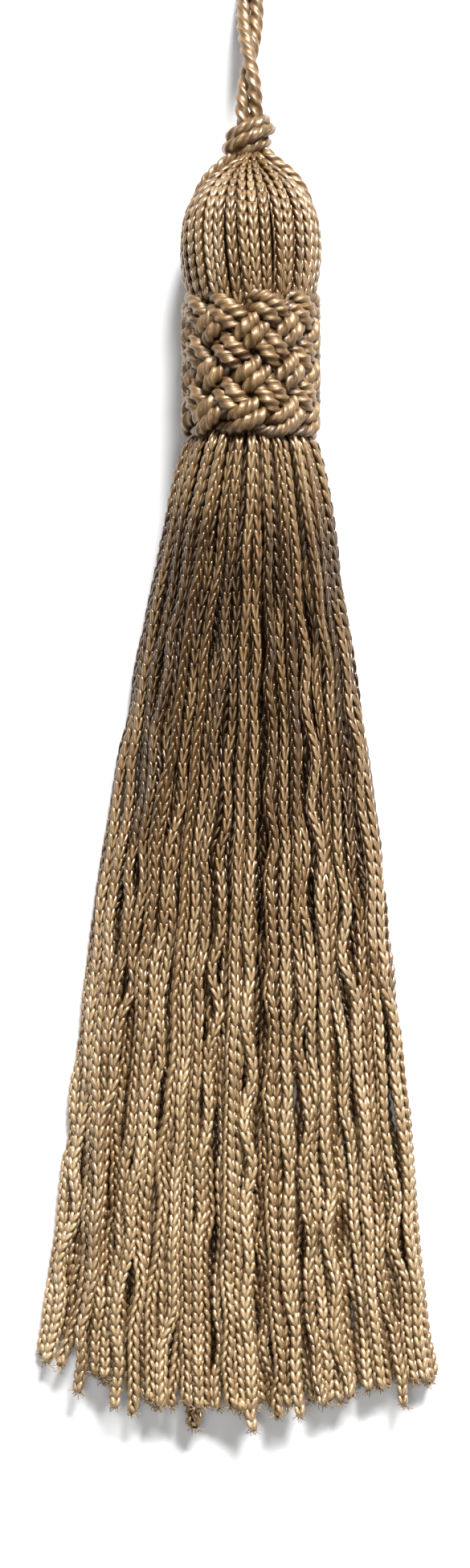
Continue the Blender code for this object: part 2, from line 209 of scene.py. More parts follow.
def finish_piece(name, mesh, places, tones, material, node, slot, depth=0.0):
    """Put the mesh's points in place, and hand the piece to the frame.

    tones has one number for each copy in the mesh: how light or dark its yarn came out.
    depth is added to it: one number, or one for each point, which carries painted shade and
    painted light where it is given. A mesh that was made with its own materials keeps them.
    """
    mesh.vertices.foreach_set("co", in_metres(places).astype(np.float32).ravel())
    shape = (len(tones), len(mesh.vertices) // len(tones))
    # This attribute holds each yarn's own tone plus any painted shade and painted light.
    tone_and_painted_shading = np.asarray(tones)[:, None] + np.broadcast_to(depth, shape)
    tone_and_shading_attribute = mesh.attributes.new("tone_and_painted_shading", "FLOAT", "POINT")
    tone_and_shading_attribute.data.foreach_set("value", tone_and_painted_shading.astype(np.float32).ravel())
    if not mesh.materials:
        mesh.materials.append(material)
    mesh.shade_smooth()
    mesh.update()
    piece = link(name, mesh)
    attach(piece, "root")
    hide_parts(node)
    mesh.calc_loop_triangles()
    print(name, len(mesh.loop_triangles), "triangles")
    return piece


# %% [markdown]
# Rayon is a smooth, glossy filament yarn. Its straight filaments act as tiny mirrors and
# colour what they reflect, so part of its gloss takes the yarn's own gold. Fine streaks
# run along each ply where bundles of filaments part, and one length of yarn comes out of
# the dye a little paler than the next.

# %% Yarn colours and material
YARN_DARK = "#3E2810"
YARN_DEEP = "#715534"
YARN_PALE = "#A88E6A"
GLOSS_TINT = "#FFF3DE"
# Painted shade: the colour given to the yarn hidden inside, where there is only shade.
INNER_PAINTED_SHADE = "#3A2816"
DEEP_AT, PALE_AT = 0.22, 0.75  # where on the way from dark to pale these two colours stand
TONE_SPREAD = 0.14
PATCH_SCALE, PATCH_SHARE = 240.0, 0.4  # patches of dye, and how much they count
STREAK_SHARE, STREAK_BUMP = 0.5, 0.4  # how much the streaks count in tone, and in relief


def linear(hex_colour):
    """An sRGB hex colour as the linear values that a shader takes."""
    values = [int(hex_colour[i : i + 2], 16) / 255 for i in (1, 3, 5)]
    return [v / 12.92 if v <= 0.04045 else ((v + 0.055) / 1.055) ** 2.4 for v in values] + [1.0]


def add(tree, kind, inputs, **settings):
    """A node with its settings, its input values and its incoming links."""
    made = tree.nodes.new(kind)
    for name, value in settings.items():
        setattr(made, name, value)
    for name, value in inputs.items():
        if isinstance(value, bpy.types.NodeSocket):
            tree.links.new(value, made.inputs[name])
        else:
            made.inputs[name].default_value = value
    return made


def plain(name, values):
    """A new material with these input values, and its shader."""
    material = bpy.data.materials.new(name)
    material.use_nodes = True
    shader = material.node_tree.nodes["Principled BSDF"]
    for input_name, value in values.items():
        shader.inputs[input_name].default_value = value
    return material, shader


def rayon(name, streaks_round, streaks_long, streak_depth, roughness, gloss):
    """Glossy rayon yarn. The yarn map runs round a ply in u and along it in v."""
    values = {
        "Metallic": 0.32,
        "Roughness": roughness,
        "Anisotropic": 0.6,
        "IOR": 1.53,
        "Specular IOR Level": 1.0,
        "Specular Tint": linear(GLOSS_TINT),
        "Coat Weight": gloss,
        "Coat Roughness": 0.29,
    }
    material, shader = plain(name, values)
    tree = material.node_tree
    yarn = add(tree, "ShaderNodeUVMap", {}, uv_map="yarn")
    place = add(tree, "ShaderNodeTexCoord", {})
    # The attribute read here holds the yarn's tone together with painted shade and painted light.
    tone_and_painted_shading = add(tree, "ShaderNodeAttribute", {}, attribute_name="tone_and_painted_shading")
    stretch = add(
        tree,
        "ShaderNodeMapping",
        {"Vector": yarn.outputs["UV"], "Scale": (streaks_round, streaks_long, 1.0)},
    )
    streaks = add(tree, "ShaderNodeTexNoise", {"Vector": stretch.outputs["Vector"], "Scale": 1.0})
    patches = add(
        tree, "ShaderNodeTexNoise", {"Vector": place.outputs["Object"], "Scale": PATCH_SCALE}
    )
    toned = tone_and_painted_shading.outputs["Fac"]
    for noise, share in ((patches, PATCH_SHARE), (streaks, STREAK_SHARE)):
        terms = {0: noise.outputs["Fac"], 1: share, 2: toned}
        toned = add(tree, "ShaderNodeMath", terms, operation="MULTIPLY_ADD").outputs["Value"]
    ramp = add(tree, "ShaderNodeValToRGB", {"Fac": toned})
    dark, pale = ramp.color_ramp.elements
    dark.color = linear(YARN_DARK)
    pale.position = PALE_AT
    pale.color = linear(YARN_PALE)
    ramp.color_ramp.elements.new(DEEP_AT).color = linear(YARN_DEEP)
    bump = add(
        tree,
        "ShaderNodeBump",
        {"Height": streaks.outputs["Fac"], "Strength": STREAK_BUMP, "Distance": streak_depth * MM},
    )
    tree.links.new(ramp.outputs["Color"], shader.inputs["Base Color"])
    tree.links.new(bump.outputs["Normal"], shader.inputs["Normal"])
    round_ply = add(tree, "ShaderNodeTangent", {}, direction_type="UV_MAP", uv_map="yarn")
    tree.links.new(round_ply.outputs["Tangent"], shader.inputs["Tangent"])
    return material


def painted_shade_yarn(name):
    """The yarn inside a cord as painted shade: a dark, dull colour with no gloss, for yarn deep in
    shade.
    """
    shade = {"Base Color": linear(INNER_PAINTED_SHADE), "Roughness": 1.0, "Specular IOR Level": 0.0}
    return plain(name, shade)[0]


knitted_rayon = rayon("knitted_viscose_filament_chain", 12.0, 1.5, 0.05, 0.33, 0.5)
twisted_rayon = rayon("twisted_viscose_filament_cord", 30.0, 1.0, 0.10, 0.40, 0.35)
plaited_rayon = rayon("twisted_viscose_filament_plait", 34.0, 1.4, 0.20, 0.42, 0.25)
painted_shade_rayon = painted_shade_yarn("painted_shade_inside_a_cord")
print("materials:", len(bpy.data.materials))

# %% [markdown]
# Chain cord is knitted on two needles, so it has a column of V-shaped stitches in front
# and one behind. Each leg of a V is a plump drop of yarn: it comes up thin through the
# stitch below, swells, leans outwards and dives under the stitch above. One leg is a small
# ball with its rings moved to those places. Mirroring it makes the V, turning both half
# round makes the back, and a thin core stands for the yarn inside.

# %% A straight knitted cord
STITCH = 1.5
STRAND_R = 0.74
LEG_SIDES = 4
LEG_RINGS = (
    # height in stitches, angle from the front, distance from the middle, half thickness
    (-0.40, 2.0, 0.34, 0.00),
    (0.08, 15.0, 0.43, 0.21),
    (0.53, 34.0, 0.50, 0.27),
    (0.97, 56.0, 0.46, 0.24),
    (1.39, 76.0, 0.24, 0.00),
)
LEG_WIDE = 1.35
CORE_R = 0.30
CORE_SIDES = 5
BACK_LATER = 0.5  # the stitches behind come half a stitch later
Y_FROM_Z = Matrix(((1, 0, 0), (0, 0, 1), (0, -1, 0)))


def shape_leg(ball, mirror, back):
    """Move a ball's rings to the places of one leg of a stitch."""
    heights = sorted({round(point.co.z, 3) for point in ball})
    flip = -1.0 if back else 1.0
    for point in ball:
        rise, angle, out, half = LEG_RINGS[heights.index(round(point.co.z, 3))]
        turn = math.radians(angle)
        around = math.atan2(point.co.y, point.co.x)
        outward, sideways = half * math.cos(around), LEG_WIDE * half * math.sin(around)
        x = (out + outward) * math.sin(turn) + sideways * math.cos(turn)
        z = (out + outward) * math.cos(turn) - sideways * math.sin(turn)
        y = (rise + (BACK_LATER if back else 0.0)) * STITCH
        point.co = (x * mirror * flip, y, z * flip)


def mesh_from(bm, name):
    mesh = bpy.data.meshes.new(name)
    bm.to_mesh(mesh)
    bm.free()
    return mesh


def drawn_out(bm, ring, steps, step, turn=None):
    """Cap a ring of points and draw it out along Y, turned at each step: the faces made."""
    edges = list({edge for point in ring for edge in point.link_edges})
    faces = bmesh.ops.contextual_create(bm, geom=edges)["faces"]
    for _ in range(steps):
        grown = bmesh.ops.extrude_edge_only(bm, edges=edges)["geom"]
        faces += [item for item in grown if isinstance(item, bmesh.types.BMFace)]
        ring = {item for item in grown if isinstance(item, bmesh.types.BMVert)}
        lines = [item for item in grown if isinstance(item, bmesh.types.BMEdge)]
        edges = [line for line in lines if set(line.verts) <= ring]
        if turn is not None:
            bmesh.ops.rotate(bm, verts=list(ring), cent=(0, 0, 0), matrix=turn)
        bmesh.ops.translate(bm, verts=list(ring), vec=(0.0, step, 0.0))
    faces += bmesh.ops.contextual_create(bm, geom=edges)["faces"]
    bmesh.ops.recalc_face_normals(bm, faces=faces)
    return faces


def knitted_length(stitches):
    """A straight chain cord: copies of one stitch round a thin core."""
    bm = bmesh.new()
    bm.loops.layers.uv.new("yarn")
    for back in (False, True):
        for mirror in (1.0, -1.0):
            ball = bmesh.ops.create_uvsphere(
                bm, u_segments=LEG_SIDES, v_segments=4, radius=1.0, calc_uvs=True
            )
            shape_leg(ball["verts"], mirror, back)
    bmesh.ops.recalc_face_normals(bm, faces=bm.faces)
    stitch = mesh_from(bm, "stitch")

    bm = bmesh.new()
    bm.from_mesh(repeated(stitch, stitches, STITCH))
    core = bmesh.ops.create_circle(bm, cap_ends=False, segments=CORE_SIDES, radius=CORE_R)["verts"]
    bmesh.ops.rotate(bm, verts=core, matrix=Y_FROM_Z)
    # The core gets the painted-shade yarn: dark and dull, where there would be shade.
    for face in drawn_out(bm, core, stitches, STITCH):
        face.material_index = 1
    length = mesh_from(bm, "knitted length")
    length.materials.append(knitted_rayon)
    length.materials.append(painted_shade_rayon)
    return length


# %% [markdown]
# The skirt's strands are laid in the same way as in the solids: they leave the neck as a
# round bundle, spread and settle on the surface, and keep out of each other's way. Here
# each one is then read off at closer steps, given the small bends that knitted cord keeps,
# and pushed apart once more, at the cord's full thickness.

# %% Where the skirt's strands lie
STRANDS = 90
ROOT_Y = 1.2
SKIRT_SECTIONS = (
    # y, left, right, height, apart, flat
    (ROOT_Y, 6.1, 6.1, 12.2, 1.16, 0.00),
    (-1.0, 7.9, 7.9, 14.0, 1.26, 0.00),
    (-5.5, 8.8, 8.7, 15.2, 1.40, 0.30),
    (-13.0, 10.5, 10.0, 13.6, 1.44, 0.70),
    (-23.0, 12.7, 11.6, 11.4, 1.44, 1.00),
    (-35.0, 15.1, 13.4, 9.6, 1.44, 1.00),
    (-49.0, 17.5, 15.4, 8.2, 1.44, 1.00),
    (-63.0, 19.6, 16.9, 7.2, 1.44, 1.00),
    (-77.0, 21.3, 18.3, 6.4, 1.44, 1.00),
    (-91.0, 22.7, 19.3, 6.0, 1.44, 1.00),
    (-103.0, 24.2, 20.6, 5.6, 1.44, 1.00),
    (-115.0, 25.4, 24.0, 5.4, 1.44, 1.00),
)
ROOT_APART, ROOT_FILL, ROOT_PUSHES = 1.88, 0.95, 200
EVEN_OUT = 0.5
STRAY = 0.13
WAVE = 0.45
SHORTEST_WAVE, LONGEST_WAVE = 26.0, 42.0
SETTLING_STEPS = 500
EASING = 0.8  # for the last fifth of the steps the strands only push each other apart
NECK_ROOM = 1.03
PUSH, PULL, STRAIGHTEN, SINK = 0.34, 0.06, 0.12, 0.01
HEM = (
    # x, y
    (-25.0, -103.6),
    (-20.5, -104.6),
    (-16.0, -106.5),
    (-10.0, -109.5),
    (0.0, -110.5),
    (7.0, -110.0),
    (13.0, -108.5),
    (21.0, -107.5),
)
HEM_UNEVEN = 1.7
UPPER_FIRST = 0.25  # how much a strand's height counts when the longer ones are chosen
LONG_ENDS = (
    # x, y
    (-24.1, -105.0),
    (-19.6, -109.2),
    (-14.9, -110.8),
    (-12.6, -111.5),
    (-6.7, -113.2),
    (0.6, -113.4),
    (2.6, -111.9),
    (5.1, -111.8),
    (9.8, -110.2),
    (16.8, -110.6),
    (21.9, -108.2),
)


def mixed(count, seed):
    """Well mixed numbers from -1 to 1, the same ones each time."""
    return 2 * ((np.arange(count) * 0.6180339887 + seed * 0.3819) % 1.0) - 1


def scattered(seed, count=STRANDS):
    """Numbers from -1 to 1 in no order at all, the same ones each time."""
    return np.random.default_rng(seed).uniform(-1, 1, count)


def push_apart(x, z, apart):
    """How far to move each strand so that none is closer than apart to the next."""
    dx = x[:, :, None] - x[:, None, :]
    dz = z[:, :, None] - z[:, None, :]
    far = np.sqrt(dx * dx + dz * dz) + 1e-9
    lap = np.clip(apart[:, None, None] - far, 0.0, None)
    lap[:, range(STRANDS), range(STRANDS)] = 0.0
    return PUSH * (lap * dx / far).sum(2), PUSH * (lap * dz / far).sum(2)


def root_pattern():
    """The strands' places in a round bundle of radius 1."""
    turn = np.arange(STRANDS) * math.pi * (3 - math.sqrt(5))
    out = np.sqrt((np.arange(STRANDS) + 0.5) / STRANDS)
    u, v = (out * np.cos(turn))[None], (out * np.sin(turn))[None]
    apart = np.array([ROOT_APART / math.sqrt(STRANDS)])
    for _ in range(ROOT_PUSHES):
        du, dv = push_apart(u, v, apart)
        u, v = u + du, v + dv
        inward = np.minimum(1.0, ROOT_FILL / np.hypot(u, v))
        u, v = u * inward, v * inward
    return u[0], v[0]


def lay_strands():
    """Each strand's centre at each section: arrays x and z, sections by strands."""
    y, left, right, height, apart, flat = np.array(SKIRT_SECTIONS).T
    u, v = root_pattern()
    down = ((y[0] - y) / (y[0] - y[-1]))[:, None]
    settled = flat[:, None]
    half = ((left + right) / 2)[:, None] - STRAND_R
    middle = ((right - left) / 2)[:, None]

    evenly = 2 * (np.argsort(np.argsort(u)) + 0.5) / STRANDS - 1
    across = u / np.abs(u).max() + EVEN_OUT * settled * (evenly - u)
    across = np.clip(across + STRAY * mixed(STRANDS, 1) * (0.7 + 0.3 * v) * down, -1, 1)
    length = SHORTEST_WAVE + (LONGEST_WAVE - SHORTEST_WAVE) * (mixed(STRANDS, 3) + 1) / 2
    wave = WAVE * settled * np.sin(math.pi * mixed(STRANDS, 2) + 2 * math.pi * y[:, None] / length)
    level = np.clip(v / np.sqrt(np.clip(1 - u * u, 0.02, 1)), -1, 1)
    crown = np.sqrt(np.clip(1 - across**2, 0.05, 1))
    lying_z = STRAND_R + (height[:, None] - 2 * STRAND_R) * crown * (level + 1) / 2
    want_x = (1 - settled) * half * u + settled * (middle + half * across + wave)
    want_z = (1 - settled) * (AXIS_Z + half * v) + settled * lying_z

    x, z = want_x.copy(), want_z.copy()
    between = (apart[1:] + apart[:-1]) / 2
    floor = np.where(flat > 0, STRAND_R, 0.0)[:, None]
    for step in range(SETTLING_STEPS):
        ease = max(0.0, 1 - step / (EASING * SETTLING_STEPS))
        x += PULL * ease * (want_x - x)
        z += PULL * ease * (want_z - z) - SINK * ease * settled
        for line in (x, z):
            line[2:-1] += STRAIGHTEN * ease * ((line[1:-2] + line[3:]) / 2 - line[2:-1])
        dx, dz = push_apart(x, z, apart)
        x += dx
        z += dz
        dx, dz = push_apart((x[1:] + x[:-1]) / 2, (z[1:] + z[:-1]) / 2, between)
        for line, move in ((x, dx), (z, dz)):
            line[1:] += move
            line[:-1] += move
        inward = np.minimum(1.0, NECK_ROOM * half[:2] / np.hypot(x[:2], z[:2] - AXIS_Z))
        x[:2] *= inward
        z[:2] = AXIS_Z + (z[:2] - AXIS_Z) * inward
        x[2:] = np.clip(x[2:], (middle - half)[2:], (middle + half)[2:])
        z = np.maximum(z, floor)
    return y, x, z


def strand_ends(x, z):
    """How far down each strand reaches: the uneven hem, and the few longer strands."""
    hem_x, hem_y = np.array(HEM).T
    ends = np.interp(x, hem_x, hem_y) + HEM_UNEVEN * mixed(STRANDS, 4)
    taken = set()
    for long_x, long_y in LONG_ENDS:
        nearest = np.argsort(np.abs(x - long_x) - UPPER_FIRST * z)
        chosen = next(i for i in nearest if i not in taken)
        taken.add(chosen)
        ends[chosen] = long_y
    return ends


sections, strand_x, strand_z = lay_strands()
ends = strand_ends(strand_x[-2], strand_z[-2])
print("strands:", STRANDS, "ending from", ends.max().round(1), "to", ends.min().round(1), "mm")

# %% [markdown]
# Between the sections the strands are smoothed. Near the collar they are drawn nearly
# straight. Lower down they cling together in small groups with dark gaps between, which
# shift on the way down, and each has two small waves of its own. A strand that lies under
# others is drawn a little fuller, so that no light comes through, and its colour is painted
# darker as painted shade.

# %% Closer steps along each strand
CLOSE_STEP = 1.9
SMOOTHING = 4
SMALL_WAVES = (
    # half width, wave length
    (0.32, 16.0),
    (0.13, 8.0),
)
GROUP_WIDE = 5.2
GROUP_CLING = 0.55
GROUP_SHIFT = 0.02  # radians for each mm down
DRIFT_SWAY, DRIFT_TURN = 1.1, 0.055  # the groups also sway: radians, and radians for each mm
FREE_LENGTH = 12.0  # the small waves set in over this length below the collar
LOOSE_LENGTH = 55.0  # over this length the strands go from drawn tight to hanging loose
TIGHT_WAVE = 0.45  # the share of the small waves that is left where they are drawn tight
WAVE_UNEVEN = 0.3
CLOSE_PUSHES = 14
CLOSE_APART = 1.36
FULLER = 0.35
# How much darker a covered strand is painted: painted shade.
UNDER_PAINTED_SHADE = -0.40
COVER_REACH, COVER_ABOVE = 1.6, 0.7  # how near aside and how far above a covering strand is
COVER_FROM, COVER_FULL = 0.6, 1.2
SPLAY, SPLAY_X, SPLAY_Y = 1.2, 19.0, -92.0  # the leftmost ends bend outwards
SPLAY_WIDE, SPLAY_LONG = 4, 14
STRAIGHT_Y = -4.0  # above this the strands come out of the collar side by side
SPREAD = (
    # y, how much wider the thin strands stand there
    (1.2, 1.03),
    (-1.0, 1.09),
    (-6.0, 1.06),
    (-14.0, 1.02),
    (-50.0, 1.0),
)
THICKNESS = (
    # y, share of the cord's full thickness, which grows where it hangs loose
    (1.2, 0.72),
    (-5.0, 0.77),
    (-40.0, 0.85),
    (-65.0, 0.95),
    (-115.0, 1.03),
)


def closer(sections, x, z):
    """The strands' centres at close steps down the skirt."""
    y = np.linspace(sections[0], sections[-1], round((sections[0] - sections[-1]) / CLOSE_STEP) + 1)
    x, z = (read_off(line, -sections, -y) for line in (x, z))
    for line in (x, z):
        for _ in range(SMOOTHING):
            line[2:-1] = (line[1:-2] + 2 * line[2:-1] + line[3:]) / 4
    free = np.clip((STRAIGHT_Y - y) / FREE_LENGTH, 0, 1)[:, None]
    loose = np.clip((STRAIGHT_Y - y) / LOOSE_LENGTH, 0, 1)[:, None]
    for number, (half_width, wave) in enumerate(SMALL_WAVES):
        for line, seed in ((x, 5 + number), (z, 8 + number)):
            start = math.pi * scattered(seed)
            stretch = 1 + WAVE_UNEVEN * scattered(seed + 6)
            height = half_width * free * (TIGHT_WAVE + (1 - TIGHT_WAVE) * loose)
            line += height * np.sin(start + 2 * math.pi * y[:, None] / (wave * stretch))
    drift = GROUP_SHIFT * y[:, None] + DRIFT_SWAY * np.sin(DRIFT_TURN * y[:, None])
    x += GROUP_CLING * loose * np.sin(2 * math.pi * x / GROUP_WIDE + drift)
    table = np.array(SKIRT_SECTIONS)
    apart = np.interp(-y, -table[:, 0], table[:, 4]) * CLOSE_APART / table[-1, 4]
    low_x = np.interp(-y, -table[:, 0], STRAND_R - table[:, 1])[:, None]
    high_x = np.interp(-y, -table[:, 0], table[:, 2] - STRAND_R)[:, None]
    floor = np.where(y < STRAIGHT_Y, STRAND_R, 0.0)[:, None]
    for _ in range(CLOSE_PUSHES):
        dx, dz = push_apart(x, z, apart)
        x = np.clip(x + dx, low_x, high_x)
        z = np.maximum(z + dz, floor)
    spread_y, spread = np.array(SPREAD).T
    x *= np.interp(-y, -spread_y, spread)[:, None]
    low_down = np.clip((SPLAY_Y - y) / SPLAY_LONG, 0, 1)[:, None]
    outermost = np.clip((-SPLAY_X - x) / SPLAY_WIDE, 0, 1) * low_down**2
    return y, x - SPLAY * outermost, z


def under_others(x, z):
    """How much of each strand is covered by strands above it, from 0 to 1, at each step."""
    aside = np.abs(x[:, :, None] - x[:, None, :])
    above = z[:, None, :] - z[:, :, None]
    covered = (np.clip(COVER_REACH - aside, 0, 1) * (above > COVER_ABOVE)).sum(2)
    return np.clip((covered - COVER_FROM) / COVER_FULL, 0, 1)


close_y, close_x, close_z = closer(sections, strand_x, strand_z)
under = under_others(close_x, close_z)
thin_y, thin_scale = np.array(THICKNESS).T
thick = np.interp(-close_y, -thin_y, thin_scale)[:, None] * (1 + FULLER * under)
print("steps down each strand:", len(close_y))

# %% [markdown]
# The skirt has 90 strands of 76 stitches. All of them share one straight length, laid
# from each strand's end up to the neck, with its stitches pointing down.
# is drawn tight by the weight below, so its stitches lie flatter there. Each strand spins
# slowly its own way, so some show their V and some their side. Four meshes from left to
# right keep each below 200,000 triangles.

# %% The skirt
SKIRT_STITCHES = 76
SKIRT_PARTS = ("left", "mid_left", "mid_right", "right")
SPIN_SPREAD = 0.36
END_SPIN = 1.1
LONGER_ABOVE = -0.15  # stitches are short where the cord hangs loose, long where it is tight
UNEVEN_PULL = 0.07
WIDER, FLATTER = 1.02, 0.92
TIGHT_R = 0.62  # where the cord is drawn tight, its stitches lie nearly this far from its middle
# The tone along each strand is painted shade and painted light: darker over the upper skirt,
# lighter just below the collar and towards the ends.
ALONG_STRAND = (
    # mm from the strand's end, painted shading (darker over the upper skirt, lighter just below the
    # collar and towards the end), how far its stitches are drawn flat
    (0.0, 0.22, 0.0),
    (3.0, 0.10, 0.0),
    (40.0, 0.04, 0.0),
    (58.0, -0.06, 0.20),
    (74.0, -0.25, 0.45),
    (96.0, -0.35, 0.50),
    (103.0, -0.34, 0.20),
    (107.0, -0.20, 0.05),
    (110.0, -0.04, 0.0),
)


def draw_tight(points, share):
    """Move a straight length's points towards one distance from its middle, as tension does."""
    from_middle = np.hypot(points[:, 0], points[:, 2])
    points[:, [0, 2]] *= (1 + share * (TIGHT_R / from_middle - 1))[:, None]


def strand_path(i):
    """The middle line of a strand from its end up to the neck, and its thickness there."""
    keep = close_y > ends[i] + CLOSE_STEP / 3
    y = np.append(close_y[keep], ends[i])
    x = np.interp(-y, -close_y, close_x[:, i])
    z = np.interp(-y, -close_y, close_z[:, i])
    return np.stack([x, y, z], axis=1)[::-1], np.interp(-y, -close_y, thick[:, i])[::-1]


knitted = knitted_length(SKIRT_STITCHES)
knitted_points = points_of(knitted)
from_end, painted_shading_there, drawn_tight = np.array(ALONG_STRAND).T
painted_shading_along = np.interp(knitted_points[:, 1], from_end, painted_shading_there)
draw_tight(knitted_points, np.interp(knitted_points[:, 1], from_end, drawn_tight))
tones = TONE_SPREAD * scattered(12)
spins = math.pi * SPIN_SPREAD * scattered(15)
turning = END_SPIN * scattered(17)
pulls = LONGER_ABOVE + UNEVEN_PULL * scattered(18)
order = np.argsort(close_x[-8])
for part, members in zip(SKIRT_PARTS, np.array_split(order, len(SKIRT_PARTS))):
    places, depth = [], []
    for i in members:
        path, thickness = strand_path(i)
        sideways = np.tile([1.0, 0.0, 0.0], (len(path), 1))
        spin = spins[i] + turning[i] * np.linspace(-1, 1, len(path))
        laid = bend(
            knitted_points, path, sideways, spin, WIDER * thickness, FLATTER * thickness, pulls[i]
        )
        laid[:, 2] = np.maximum(laid[:, 2], 0.0)
        places.append(laid)
        # Painted shading: the tone along the strand, and painted shade where other strands cover
        # it.
        depth.append(painted_shading_along + UNDER_PAINTED_SHADE * np.interp(-laid[:, 1], -close_y, under[:, i]))
    finish_piece(
        "skirt_strands_" + part,
        repeated(knitted, len(members)),
        np.concatenate(places),
        tones[members],
        knitted_rayon,
        *HEAD_AND_SKIRT,
        np.stack(depth),
    )

# %% [markdown]
# Each strand ends where it was cut. Its last loops have opened into a short, dull, pale
# tuft round a small uneven lump, and a few longer filaments stray.

# %% The strands' ends
TIP_HALF = np.array([0.50, 0.62, 0.46])
TIP_BEYOND = -0.55
TIP_LUMPS = 0.10
TIP_UNEVEN = 0.12
TIP_TONE = 0.02
FRAYS_EACH = 22
FRAY_R = 0.05
FRAY_STEPS = 3
FRAY_SHORTEST, FRAY_LONGEST = 0.3, 0.95
FRAY_FAN = 0.7
FRAY_CURL = 1.5
FRAY_RISE = 0.4
FRAY_ROOTS = 0.6
FRAY_TONE = 0.50
cut_rayon = rayon("cut_viscose_filament_ends", 12.0, 1.5, 0.05, 0.75, 0.0)


def lump():
    bm = bmesh.new()
    bm.loops.layers.uv.new("yarn")
    bmesh.ops.create_uvsphere(bm, u_segments=8, v_segments=5, radius=1.0, calc_uvs=True)
    return mesh_from(bm, "lump")


def filament():
    """A thin straight filament, 1 mm long, with three sides."""
    bm = bmesh.new()
    bm.loops.layers.uv.new("yarn")
    ring = bmesh.ops.create_circle(bm, cap_ends=False, segments=3, radius=FRAY_R)["verts"]
    bmesh.ops.rotate(bm, verts=ring, matrix=Y_FROM_Z)
    drawn_out(bm, ring, FRAY_STEPS, 1 / FRAY_STEPS)
    return mesh_from(bm, "filament")


def fray_path(end, rng):
    """A short curl that leaves a strand's end."""
    share = np.linspace(0, 1, FRAY_STEPS + 1)
    turn = FRAY_FAN * rng.uniform(-1, 1) + FRAY_CURL * rng.uniform(-1, 1) * share
    step = rng.uniform(FRAY_SHORTEST, FRAY_LONGEST) / FRAY_STEPS
    rise = np.full_like(turn, rng.uniform(-FRAY_RISE, FRAY_RISE))
    moves = step * np.stack([np.sin(turn), -np.cos(turn), rise], axis=1)
    path = end + TIP_HALF * rng.uniform(-FRAY_ROOTS, FRAY_ROOTS, 3) + np.cumsum(moves, axis=0)
    path[:, 2] = np.maximum(path[:, 2], FRAY_R)
    return path


strand_tips = np.array([strand_path(i)[0][0] for i in range(STRANDS)]) - [0.0, TIP_BEYOND, 0.0]
lump_mesh = repeated(lump(), STRANDS)
uneven = np.stack([scattered(26), scattered(27), scattered(28)], axis=1)
lump_size = TIP_HALF * (1 + TIP_UNEVEN * uneven)
lump_places = points_of(lump_mesh).reshape(STRANDS, -1, 3)
lump_places = lump_places * lump_size[:, None] + strand_tips[:, None]
lump_places = lump_places.reshape(-1, 3)
lump_places += TIP_LUMPS * scattered(29, lump_places.size).reshape(-1, 3)
lump_places[:, 2] = np.maximum(lump_places[:, 2], 0.0)
finish_piece(
    "strand_end_lumps", lump_mesh, lump_places, tones + TIP_TONE, cut_rayon, *HEAD_AND_SKIRT
)
fray = filament()
fray_points = points_of(fray)
fray_rng = np.random.default_rng(30)
fray_paths = [fray_path(tip, fray_rng) for tip in strand_tips for _ in range(FRAYS_EACH)]
up = np.tile([0.0, 0.0, 1.0], (FRAY_STEPS + 1, 1))
finish_piece(
    "strand_end_filaments",
    repeated(fray, len(fray_paths)),
    np.concatenate([bend(fray_points, path, up) for path in fray_paths]),
    np.full(len(fray_paths), FRAY_TONE),
    cut_rayon,
    *HEAD_AND_SKIRT,
)

# %% [markdown]
# Over the head the same strands lie side by side from the collar up to the knot. They are
# drawn tight, lean together a little, and start higher or lower inside the collar, so that
# their stitches don't line up. They can't all fit where the head grows narrow, so they are
# squeezed thinner, and every second one slips under its neighbours there.

# %% The head
HEAD_STRANDS = 32
HEAD_STITCHES = 15
HEAD_PROFILE = (
    # y, radius
    (34.0, 0.7),
    (33.0, 1.1),
    (32.2, 1.9),
    (31.4, 3.0),
    (30.5, 4.3),
    (29.4, 5.5),
    (28.0, 6.65),
    (26.0, 7.65),
    (23.8, 8.1),
    (21.2, 8.2),
    (18.8, 7.95),
    (17.0, 7.6),
    (15.0, 6.9),
    (12.5, 6.2),
)
HEAD_TONE = -0.17
HEAD_DEEP = 0.93
HEAD_STEP = 0.8
HEAD_WANDER, WANDER_TURNS = 0.15, 1.5
HEAD_LEAN = 0.55  # neighbours lean together, this many mm to each side
LEAN_SWING, LEAN_START = 1.5, 0.6
LEAN_LEAST_R, ROOM_LEAST_R = 3.0, 2.0  # a narrower head counts as this wide
HEAD_STARTS = 2.0  # the strands start up to this many steps higher or lower in the collar
HEAD_SPIN, SPIN_BELOW = 0.5, 1.4
HEAD_FILL = 1.15
HEAD_THINNEST, HEAD_FULLEST = 0.6, 1.0
HEAD_TIGHT = 0.4
SLIP_FROM, SLIP_TO = 5.6, 3.0
SLIP = 0.8


def profile_line(inset):
    """The head's outline from the collar up, moved inwards: arrays y and radius."""
    line = smooth_line([(r, y, 0.0) for y, r in HEAD_PROFILE[::-1]], HEAD_STEP)
    ahead = unit(np.gradient(line, axis=0))
    return line[:, 1] - inset * -ahead[:, 0], np.maximum(line[:, 0] - inset * ahead[:, 1], 0.15)


